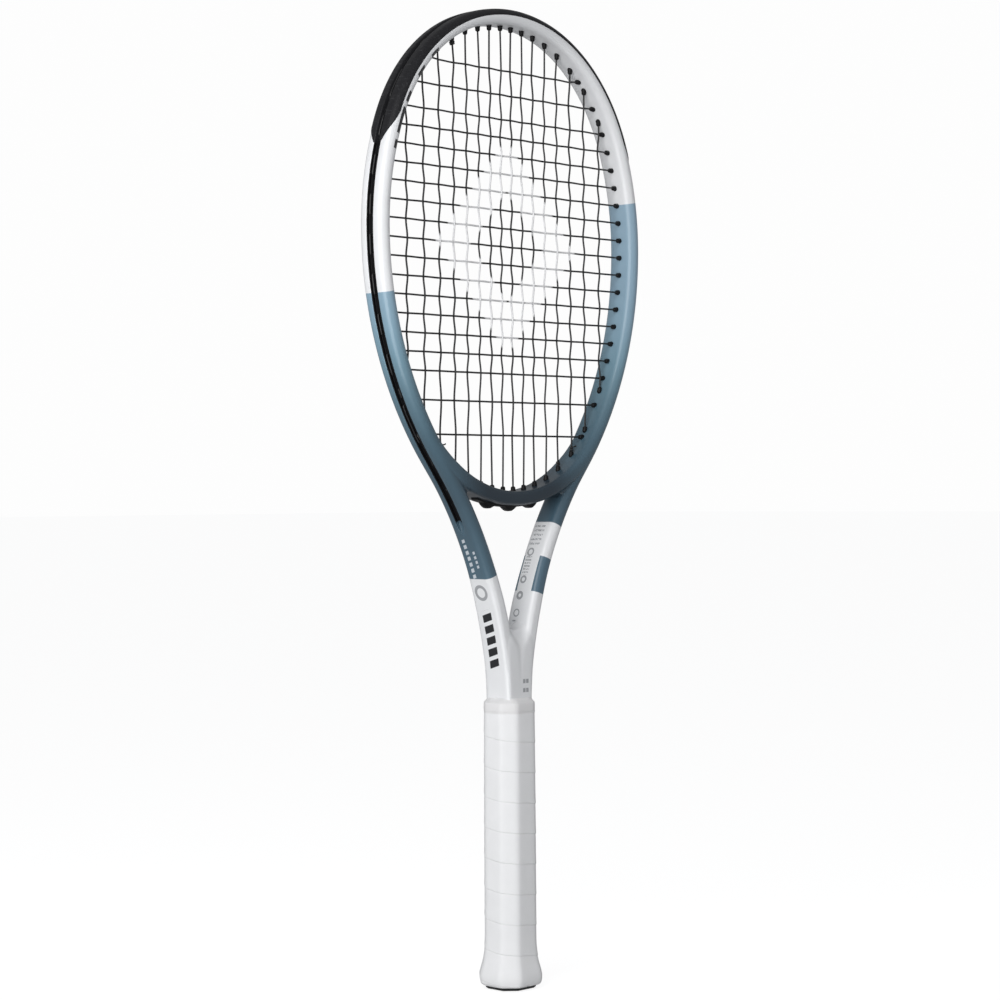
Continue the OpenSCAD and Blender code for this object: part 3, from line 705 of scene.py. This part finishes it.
def string_run(start, end, crossings):
    """From one hole to another, over and under the strings it crosses."""
    pts = [start[0] + start[1] * 2, start[0]]
    last = None
    for c in crossings:
        if last is not None:
            for t in (0.2, 0.4, 0.6, 0.8):
                q = last + (c - last) * t
                q[1] = last[1] + (c[1] - last[1]) * (1 - math.cos(PI * t)) / 2
                pts.append(q)
        pts.append(c)
        last = c
    return pts + [end[0], end[0] + end[1] * 2]


def tail_end(hole, level, turn):
    """The cut end of a string, a short way along the groove from its last hole."""
    p = to_level(hole, level)
    return [p + 6 * turn * np.array([-hole[1][2], 0, hole[1][0]]), p]


tops = [top_hole(main_x(m)) for m in range(MAINS)]
bottoms = [bottom_hole(main_x(m)) for m in range(MAINS)]
lefts = [cross_hole(cross_z(k), -1) for k in range(CROSSES)]
rights = [cross_hole(cross_z(k), 1) for k in range(CROSSES)]


def crossed(m, k):
    """Whether main m reaches cross k inside the head."""
    return abs(main_x(m)) < rights[k][0][0] - 2


def crossing(m, k, string=1):
    """Where main m and cross k meet, on the middle line of the main (1) or of the cross (-1)."""
    over = WEAVE if (m + k) % 2 == 0 else -WEAVE
    return np.array([main_x(m), string * over, cross_z(k)])


main_path = tail_end(bottoms[0], MAIN_LEVEL, 1)
for m in range(MAINS):
    rows = [k for k in range(CROSSES - 1, -1, -1) if crossed(m, k)]
    run = string_run(bottoms[m], tops[m], [crossing(m, k) for k in rows])
    main_path += run if m % 2 == 0 else run[::-1]
    if m < MAINS - 1:
        ends = tops if m % 2 == 0 else bottoms
        saddle = m % 2 and all(abs(end[0][0]) < ON_SADDLE for end in ends[m:m + 2])
        main_path += groove_loop(ends[m], ends[m + 1], MAIN_LEVEL, 0 if saddle else -BESIDE,
                                 SADDLE_R if saddle else (SIDE_R if m % 2 else TIP_R))
main_path += tail_end(bottoms[-1], MAIN_LEVEL, -1)[::-1]

cross_path = tail_end(lefts[0], CROSS_LEVEL, -1)
for k in range(CROSSES):
    rows = [m for m in range(MAINS) if crossed(m, k)]
    run = string_run(lefts[k], rights[k], [crossing(m, k, -1) for m in rows])
    cross_path += run if k % 2 == 0 else run[::-1]
    if k < CROSSES - 1:
        ends = rights if k % 2 == 0 else lefts
        cross_path += groove_loop(ends[k], ends[k + 1], CROSS_LEVEL, 0, TIP_R if k < 4 else SIDE_R)
cross_path += tail_end(rights[-1], CROSS_LEVEL, -1)[::-1]

piece("main_strings", [tube(rounded(np.array(main_path), 0.8), STRING_R)], gut, ("main_string",), sharp=60)
piece("cross_strings", [tube(rounded(np.array(cross_path), 0.8), STRING_R)], gut, ("cross_string",),
      sharp=60)


def knot(hole, m, k, lean, size=1.0):
    """Two and a half turns of string round a main string near its hole, with a cut tail."""
    a, b = hole[0], crossing(m, k)
    axis = (b - a) / np.linalg.norm(b - a)
    side = np.cross(axis, [0.0, 1.0, 0.0])
    side /= np.linalg.norm(side)
    front = np.cross(side, axis)
    turns = np.linspace(0, 5 * PI, 44)[:, None]
    coil = a + axis * (4.6 + (turns / (2 * PI) - 1.2) * 1.2)
    coil += 1.28 * size * (side * np.cos(turns) + front * np.sin(turns))
    tip = coil[-1] + np.array([[lean * 0.9, -0.8, 0.2], [lean * 1.8, -1.2, 0.4], [lean * 2.6, -1.3, 0.9]])
    return tube(np.concatenate([coil, tip]), 0.62 * size)


low_knots = [(m, max(k for k in range(CROSSES) if crossed(m, k))) for m in (2, MAINS - 3, MAINS - 4)]
piece("main_string_ties", [knot(bottoms[m], m, k, 1, 0.8) for m, k in low_knots[:2]], gut,
      ("main_string_knots",), sharp=60)
piece("cross_string_ties", [knot(tops[3], 3, 0, -1), knot(bottoms[MAINS - 4], *low_knots[2], -1, 0.8)],
      gut, ("cross_string_knots",), sharp=60)

# ---------- grommets and bumper guard ----------

# A grommet's outline from inside the hole to the rim round its bore, as (distance out, radius)
NOSE = ((-1.5, 1.6), (-0.2, 1.85), (0.3, 1.95), (0.8, 1.8), (1.2, 1.72), (1.8, 1.7), (2.3, 1.65), (2.8, 1.5),
        (3.1, 1.15), (3.2, 0.85), (2.7, 0.8))


def nose(hole, target, long=1.0):
    """A soft grommet tube that leaves the hole and leans along its string."""
    p, d = hole
    to = (target - p) / np.linalg.norm(target - p)
    path, radii = [], []
    for t, r in NOSE:
        t *= long
        bend = ease(t, -0.6, 1.2)
        path.append(p + (to * bend - d * (1 - bend)) * t if t > 0 else p - d * t)
        radii.append(r)
    path = np.array(path)
    axis = np.gradient(path[:9], axis=0)
    axis /= np.linalg.norm(axis, axis=1)[:, None]
    axis = np.concatenate([axis, axis[-1:], axis[-1:]])
    turns = np.linspace(0, 2 * PI, 20, endpoint=False)
    rings = []
    for c, a, r in zip(path, axis, radii):
        side = np.array([0.0, 1.0, 0.0])
        up = np.cross(a, side)
        rings.append(c + r * (np.cos(turns)[:, None] * side + np.sin(turns)[:, None] * up))
    return sweep(rings)


# Distance from the tip to each end of the guard
BUMPER_END = 165.5


def strip_section():
    """Half of the thin channel that lines the groove."""
    floor, top = HALF_W - GROOVE_DEPTH, HALF_W - 0.12
    return np.array([(floor + 0.1, 0), (floor + 0.1, 3.1), (top - 0.15, 3.1), (top, 3.0), (top, 2.55),
                     (top - 0.15, 2.4), (floor + 0.75, 2.35), (floor + 0.6, 2.2), (floor + 0.6, 0)])


def strip(side):
    """The channel in the groove of one side, from under the guard to the groove's end."""
    outline = mirrored(strip_section())
    return sweep([on_tube(side * s, outline) for s in np.arange(BUMPER_END - 3, GROOVE_END, 2.5)])


side_noses, tip_noses = {-1: [], 1: []}, []
for m in range(MAINS):
    rows = [k for k in range(CROSSES) if crossed(m, k)]
    tip_noses.append(nose(tops[m], crossing(m, rows[0]), 1.15))
    side_noses[-1 if m < MAINS / 2 else 1].append(nose(bottoms[m], crossing(m, rows[-1])))
for k in range(CROSSES):
    rows = [m for m in range(MAINS) if crossed(m, k)]
    for hole, m, side in ((lefts[k], rows[0], -1), (rights[k], rows[-1], 1)):
        side_noses[side].append(nose(hole, crossing(m, k, -1)))
piece("left_grommets", [strip(-1)] + side_noses[-1], black, ("left_grommet_strip",), sharp=40)
piece("right_grommets", [strip(1)] + side_noses[1], black, ("right_grommet_strip",), sharp=40)
piece("tip_grommets", tip_noses, black, sharp=40)

# Throat strip: a thin band under the bridge with a smooth hump under each loop of string
half_sweep = math.asin(34 / BRIDGE_OUT)
humps = [math.asin((main_x(m) + main_x(m + 1)) / 2 / (BRIDGE_OUT + 1.5)) for m in (5, 7, 9)]
throat_rings = []
for t in np.linspace(-half_sweep, half_sweep, 121):
    near = min(abs(t - h) for h in humps) * BRIDGE_OUT / 5.4
    hump = 2.9 * max(1 - near * near, 0)
    base = BRIDGE_OUT + 1.1 * min((half_sweep - abs(t)) * BRIDGE_OUT / 1.5, 1) ** 0.5
    half = [(BRIDGE_OUT - 0.6, 3.3), (base - 0.3, 3.3), (base, 3.0), (base + hump * 0.8, 2.8), (base + hump, 2.1),
            (base + hump * 1.04, 0)]
    outline = mirrored(np.array(half))
    throat_rings.append(np.stack([math.sin(t) * outline[:, 0], outline[:, 1],
                                  C_BRIDGE[1] - math.cos(t) * outline[:, 0]], 1))
piece("throat_strip", [sweep(throat_rings)], black, ("throat_grommet_strip",), sharp=50)


def bumper_section(s):
    """Outline of the guard: outside over the tube, a channel in the middle, inside along the tube."""
    out, inner = faces_at(s)
    r, middle, floor = (out + inner) / 2, (out - inner) / 2, out - GROOVE_DEPTH
    straight = HALF_D - r
    left = BUMPER_END - abs(s)
    reach = 3.3 + (straight + r * math.radians(78) - 3.3) * (1 - (1 - min(left / 24, 1)) ** 1.6)
    thick = 0.35 + 0.65 * min(left / 6, 1) ** 0.5

    def skin(q, t):
        a = max(q - straight, 0) / r
        return (middle + (r + t) * math.cos(a), min(q, straight) + (r + t) * math.sin(a))

    crown = (1.3 - 0.45 * min(abs(s) / 135, 1)) * thick
    pts = [(floor + 0.55, 0), (floor + 0.55, 1.9), (floor + 0.8, 2.1), (out + crown - 0.6, 2.15),
           (out + crown - 0.2, 2.4)]
    for f in np.linspace(0, 1, 16):
        q = 2.9 + (reach - 2.9) * f
        t = 0.55 * thick + (crown - 0.55 * thick) * (1 - ease(q, 3.2, 12.5))
        edge = math.sqrt(max(1 - max((f - 0.93) / 0.07, 0) ** 2, 0))
        pts.append(skin(q, t * edge - 0.05 * (1 - edge)))
    for f in np.linspace(1, 0, 6):
        pts.append(skin(2.9 + (reach - 2.9) * f, -0.4))
    return np.array(pts + [(floor + 0.1, 2.6), (floor + 0.1, 0)])


# Stations along the guard, close together at its thin ends
from_end = np.array([0, 0.2, 0.6, 1.2, 2, 3, 4.5, 6.5, 9, 12, 15, 18, 21])
bumper_stations = np.concatenate([from_end - BUMPER_END, np.linspace(-142, 142, 110), BUMPER_END - from_end[::-1]])
bumper_rings = [on_tube(s, mirrored(bumper_section(s))) for s in bumper_stations]
piece("bumper", [sweep(bumper_rings)], bumper_black, ("bumper_guard",), sharp=38)

# ---------- handle ----------

# Distances from the handle's axis to the flats at the sides, at front and rear, and between them
GRIP_X, GRIP_Y = ((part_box("finishing_tape")[1][i] / MM + 2.0) for i in (0, 1))
GRIP_SLANT = 17.95
wrap_low, wrap_high = (v.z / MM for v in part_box("grip_wrap"))
# Height of one turn of the wrap, and the height from which its turns are counted
PITCH = 21.3
SEAM_Z = 25.2 - 136 / 360 * PITCH
TURNS = np.linspace(0, 2 * PI, 96, endpoint=False)
# Scale of the handle's outline at each height, with the flared butt at the bottom
FLARE = np.array([[2.3, 1.05], [2.7, 1.13], [3.4, 1.17], [5, 1.203], [7.5, 1.222], [10, 1.22], [13, 1.18],
                  [16, 1.13], [20, 1.077], [24, 1.04], [29, 1.014], [34, 1.003], [60, 1.004], [110, 1.004],
                  [150, 0.996], [200, 0.985]])


def octagon(angle, p=26.0):
    """Radius of a softened octagon at an angle, before the flare."""
    planes = [(0, GRIP_X), (90, GRIP_Y), (180, GRIP_X), (270, GRIP_Y)]
    planes += [(a, GRIP_SLANT) for a in (43.6, 136.4, 223.6, 316.4)]
    total = sum(np.maximum(np.cos(angle - math.radians(a)), 0) ** p / h ** p for a, h in planes)
    return total ** (-1 / p)


def box_radius(angle, a, b, p):
    """Radius at an angle of a rectangle of half sides a and b, rounded more for a lower p."""
    return ((np.abs(np.cos(angle)) / a) ** p + (np.abs(np.sin(angle)) / b) ** p) ** (-1 / p)


def flare(z):
    return np.interp(z, FLARE[:, 0], FLARE[:, 1])


# The wrap is one long band, wound up the handle; each turn's lower edge lies on the turn below.
# band_p goes across the band in turns, and band_lift is how far it stands out there.
band_p = np.array([-0.012, 0.0, 0.008, 0.02, 0.045, 0.09, 0.16, 0.26, 0.38, 0.5, 0.62, 0.74, 0.84, 0.92, 0.965,
                   0.985, 1.0, 1.02])
band_lift = np.array([-0.35, 0.14, 0.30, 0.36, 0.34, 0.28, 0.2, 0.12, 0.07, 0.04, 0.02, 0.0, -0.03, -0.07, -0.12,
                      -0.2, -0.34, -0.5])
first = int(math.floor((wrap_low - SEAM_Z) / PITCH)) - 2
last = int(math.ceil((wrap_high - SEAM_Z) / PITCH)) + 1
wrap_rings, wrap_seam_shade = [], []
for n in range((last - first) * len(TURNS) + 1):
    angle = -2 * PI * n / len(TURNS)
    turn = first + n / len(TURNS)
    # The seams climb unevenly as they go round the flats
    swing = 0.0875 * (math.sin(2 * PI * (turn - 0.314)) - 0.391)
    z = SEAM_Z + PITCH * (turn - swing + band_p)
    z = np.clip(z, wrap_low - 0.7, wrap_high)
    r = octagon(angle % (2 * PI)) * flare(z) + 0.65 * band_lift * ease(z, 3, 14)
    wrap_rings.append(np.stack([r * math.cos(angle), r * math.sin(angle), z], 1))
    # Painted shade: the band's edges at each seam are marked for darkening
    wrap_seam_shade.append(np.where((band_p < 0.004) | (band_p > 0.975), 1.0, 0.0))
piece("grip_band", [sweep(wrap_rings, closed=False, ends=False)], grip_white, ("grip_wrap",),
      sharp=70, values={"seam": np.concatenate(wrap_seam_shade)})

# Rubber collar: flush with the grip, drawn in to the shaft at its top. Each row has its height,
# how far it stands out, and its share of the shafts' outline.
collar_low, collar_high = (v.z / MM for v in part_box("grip_collar"))
collar_rows = [(collar_low - 1.6, -0.7, 0), (collar_low - 1.5, 0.02, 0), (collar_low - 0.3, 0.1, 0),
               (collar_low + 1.2, 0.2, 0), (collar_low + 3, 0.18, 0), (collar_low + 5.2, 0.15, 0),
               (collar_low + 5.9, 0.0, 0), (collar_low + 6.5, -0.35, 0.12), (collar_low + 7.5, -0.6, 0.42),
               (collar_low + 8.5, -0.5, 0.78), (collar_high - 0.2, -0.2, 0.97), (collar_high, -0.4, 1.0),
               (collar_high, -2.2, 1.0)]
collar_rings = []
for z, grow, share in collar_rows:
    on_grip = octagon(TURNS) * FLARE[-1, 1] + grow
    on_shafts = box_radius(TURNS, SHAFT_X + HALF_W + 1.4, HALF_D + 1.4, 5) + grow
    r = on_grip * (1 - share) + on_shafts * share
    collar_rings.append(np.stack([r * np.cos(TURNS), r * np.sin(TURNS), np.full(len(TURNS), z)], 1))
# The collar takes no painted seam shade
piece("collar", [sweep(collar_rings, ends=False)], rubber_white, ("grip_collar",), sharp=60,
      values={"seam": np.zeros(len(TURNS) * len(collar_rows))})

for name, material in (("front_pallet", foam), ("rear_pallet", foam),
                       ("left_shaft_plug", plug_grey), ("right_shaft_plug", plug_grey), ("butt_cap", cap_black),
                       ("butt_cap_door", cap_black), ("butt_cap_staples", steel), ("finishing_tape", tape_white)):
    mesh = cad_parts[name].data
    mesh.materials.clear()
    mesh.materials.append(material)

# ---------- floor, light, camera ----------

FLOOR_HALF, FLOOR_Z = 40, -0.0004
floor_mesh = bpy.data.meshes.new("floor")
floor_mesh.from_pydata([(i * FLOOR_HALF, j * FLOOR_HALF, FLOOR_Z) for i, j in ((-1, -1), (1, -1), (1, 1), (-1, 1))],
                       [], [(0, 1, 2, 3)])
floor = bpy.data.objects.new("floor", floor_mesh)
bpy.context.scene.collection.objects.link(floor)
floor.visible_diffuse = floor.visible_glossy = False
floor_mesh.materials.append(shader("floor_material", Base_Color=(0.3, 0.3, 0.3, 1), Roughness=0.9,
                                   Specular_IOR_Level=0.0, Emission_Color=(1, 1, 1, 1), Emission_Strength=0.87)[0])

# The camera sees a near-white world, and the racket is lit by a much dimmer one
SEEN, LIT = 0.985, 0.33
world = bpy.data.worlds.new("studio")
bpy.context.scene.world = world
world.use_nodes = True
tree = world.node_tree
tree.nodes.clear()
out = tree.nodes.new("ShaderNodeOutputWorld")
seen, lit, choose = (tree.nodes.new("ShaderNode" + k) for k in ("Background", "Background", "MixShader"))
path = tree.nodes.new("ShaderNodeLightPath")
seen.inputs[0].default_value = (1, 1, 1, 1)
seen.inputs[1].default_value = SEEN
lit.inputs[0].default_value = (0.97, 0.98, 1, 1)
lit.inputs[1].default_value = LIT
tree.links.new(path.outputs["Is Camera Ray"], choose.inputs[0])
tree.links.new(lit.outputs[0], choose.inputs[1])
tree.links.new(seen.outputs[0], choose.inputs[2])
tree.links.new(choose.outputs[0], out.inputs[0])


def softbox(name, at, to, size, size_y, power):
    data = bpy.data.lights.new(name, "AREA")
    data.shape = "RECTANGLE"
    data.size, data.size_y, data.energy = size, size_y, power
    lamp = bpy.data.objects.new(name, data)
    lamp.location = at
    lamp.rotation_mode = "QUATERNION"
    lamp.rotation_quaternion = (Vector(to) - Vector(at)).to_track_quat("-Z", "Y")
    bpy.context.scene.collection.objects.link(lamp)


LAMPS_TO = (0, 0, 0.36)
softbox("key", (-1.17, -0.47, 0.5), LAMPS_TO, 1.0, 2.0, 18.5)
softbox("fill", (-0.6, -2.6, 1.2), LAMPS_TO, 1.6, 1.6, 1.8)

# A level camera, turned a little about its own line of sight
CAMERA_AT, CAMERA_ROLL = Vector((-1.2545, -1.2116, 0.3446)), math.radians(-0.34)
camera_data = bpy.data.cameras.new("camera")
camera_data.sensor_width, camera_data.lens = 36.0, 89.29
camera_data.shift_x, camera_data.shift_y = -0.008, -0.0035
camera_data.clip_start, camera_data.clip_end = 0.05, 200
camera = bpy.data.objects.new("camera", camera_data)
camera.location = CAMERA_AT
camera.rotation_mode = "QUATERNION"
look = Vector((-CAMERA_AT.x, -CAMERA_AT.y, 0)).to_track_quat("-Z", "Y")
camera.rotation_quaternion = look @ Quaternion((0, 0, 1), CAMERA_ROLL)
bpy.context.scene.collection.objects.link(camera)
bpy.context.scene.camera = camera
bpy.context.scene.view_settings.view_transform = "Standard"
